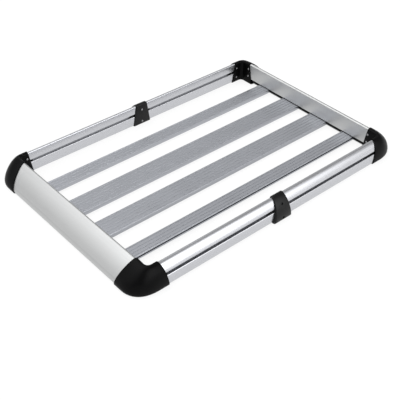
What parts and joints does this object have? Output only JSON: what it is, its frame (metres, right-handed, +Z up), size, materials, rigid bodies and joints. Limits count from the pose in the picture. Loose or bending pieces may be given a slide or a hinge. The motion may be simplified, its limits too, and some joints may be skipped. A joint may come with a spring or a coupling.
{
  "type": "roof cargo basket",
  "caption": "Low rectangular roof cargo basket: bowed aluminium end fairings, tubular side rails, grooved deck slats, black moulded corner elbows and mid-rail brackets.",
  "frame": {"origin": "on the ground under the middle of the basket, at the centre of its bounding box's bottom face", "axes": "+X forward along the length, +Y to the left across the width, +Z up"},
  "size_m": [1.2696, 0.8464, 0.0967],
  "materials": {
    "fairing_aluminium": "satin anodised",
    "rail_aluminium": "satin anodised",
    "slat_aluminium": "brushed mill finish",
    "black_plastic": "fine moulded satin",
    "screw_steel": "zinc plated"
  },
  "bodies": {
    "root": {"fairing_front": "fairing_aluminium", "fairing_rear": "fairing_aluminium", "rail_lower_left": "rail_aluminium", "rail_upper_left": "rail_aluminium", "rail_lower_right": "rail_aluminium", "rail_upper_right": "rail_aluminium", "slat_outer_left": "slat_aluminium", "slat_outer_right": "slat_aluminium", "slat_inner_left": "slat_aluminium", "slat_inner_right": "slat_aluminium", "elbow_front_left": "black_plastic", "elbow_front_right": "black_plastic", "elbow_rear_left": "black_plastic", "elbow_rear_right": "black_plastic", "bracket_left": "black_plastic", "bracket_right": "black_plastic", "strip_front": "black_plastic", "strip_rear": "black_plastic", "screw_elbow_front_left_rail_lower": "screw_steel", "screw_elbow_front_left_rail_upper": "screw_steel", "screw_elbow_front_left_fairing_lower": "screw_steel", "screw_elbow_front_left_fairing_upper": "screw_steel", "screw_elbow_front_right_rail_lower": "screw_steel", "screw_elbow_front_right_rail_upper": "screw_steel", "screw_elbow_front_right_fairing_lower": "screw_steel", "screw_elbow_front_right_fairing_upper": "screw_steel", "screw_elbow_rear_left_rail_lower": "screw_steel", "screw_elbow_rear_left_rail_upper": "screw_steel", "screw_elbow_rear_left_fairing_lower": "screw_steel", "screw_elbow_rear_left_fairing_upper": "screw_steel", "screw_elbow_rear_right_rail_lower": "screw_steel", "screw_elbow_rear_right_rail_upper": "screw_steel", "screw_elbow_rear_right_fairing_lower": "screw_steel", "screw_elbow_rear_right_fairing_upper": "screw_steel", "screw_bracket_inner_left_lower": "screw_steel", "screw_bracket_outer_left_lower": "screw_steel", "screw_bracket_inner_left_upper": "screw_steel", "screw_bracket_outer_left_upper": "screw_steel", "screw_bracket_inner_right_lower": "screw_steel", "screw_bracket_outer_right_lower": "screw_steel", "screw_bracket_inner_right_upper": "screw_steel", "screw_bracket_outer_right_upper": "screw_steel", "screw_slat_front_1": "screw_steel", "screw_slat_front_2": "screw_steel", "screw_slat_front_3": "screw_steel", "screw_slat_front_4": "screw_steel", "screw_slat_front_5": "screw_steel", "screw_slat_front_6": "screw_steel", "screw_slat_front_7": "screw_steel", "screw_slat_front_8": "screw_steel", "screw_slat_rear_1": "screw_steel", "screw_slat_rear_2": "screw_steel", "screw_slat_rear_3": "screw_steel", "screw_slat_rear_4": "screw_steel", "screw_slat_rear_5": "screw_steel", "screw_slat_rear_6": "screw_steel", "screw_slat_rear_7": "screw_steel", "screw_slat_rear_8": "screw_steel"}
  },
  "joints": []
}
